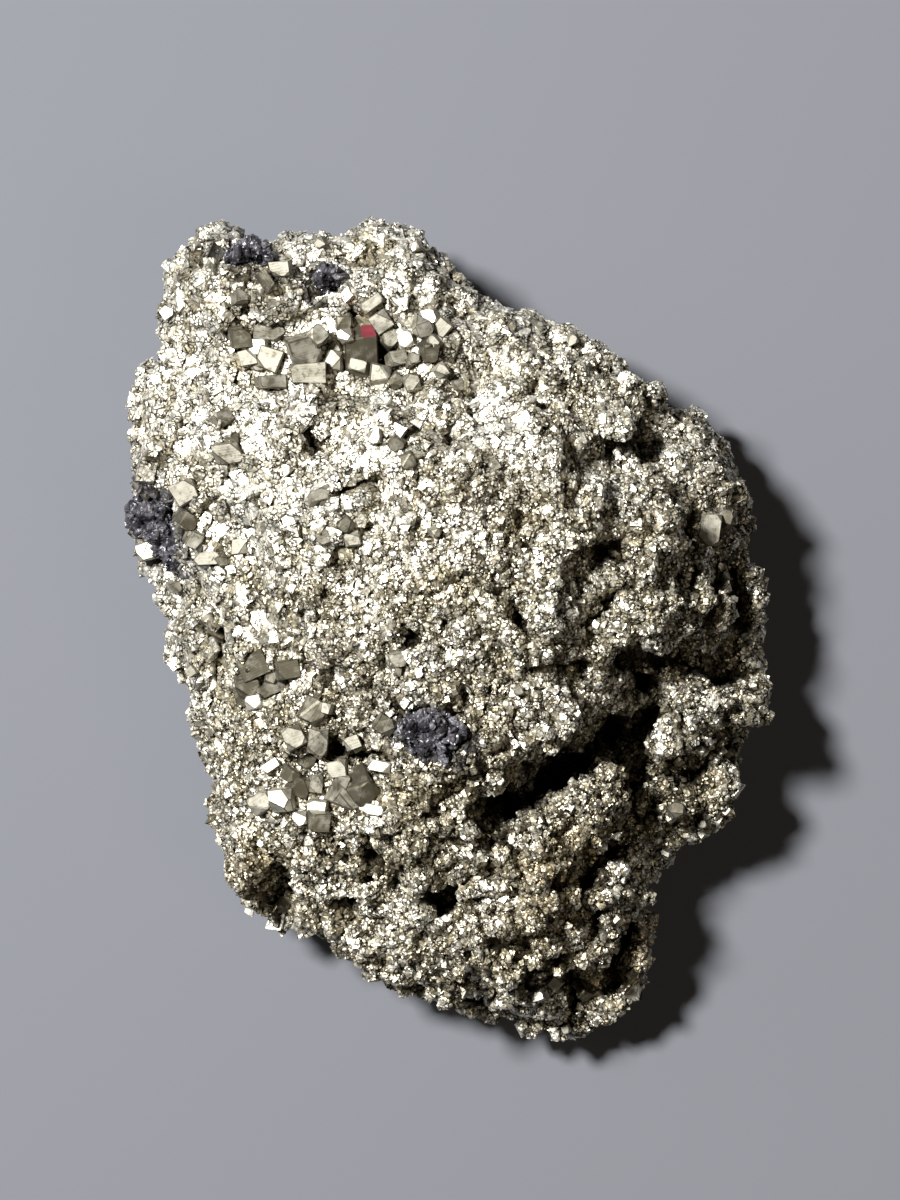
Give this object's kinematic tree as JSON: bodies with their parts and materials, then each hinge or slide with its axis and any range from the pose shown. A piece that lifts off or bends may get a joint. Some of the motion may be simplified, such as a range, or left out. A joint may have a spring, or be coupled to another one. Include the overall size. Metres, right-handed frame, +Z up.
{
  "type": "pyrite specimen",
  "caption": "Hand specimen of granular pyrite: a lobed, creviced mass with cube crystals in its hollows and lumps of a dark mineral, lying on its broad base.",
  "frame": {"origin": "the middle of the specimen's box, at the surface that it lies on", "axes": "+Z up, +Y along the specimen's long side towards its two browed end, +X to the right seen from above"},
  "size_m": [0.0644, 0.0832, 0.038],
  "materials": {
    "pyrite": "satin",
    "dark_mineral": "satin"
  },
  "bodies": {
    "root": {"pyrite_mass": "pyrite", "dark_mineral_top": "dark_mineral", "dark_mineral_upper": "dark_mineral", "dark_mineral_left": "dark_mineral", "dark_mineral_middle": "dark_mineral"}
  },
  "joints": []
}
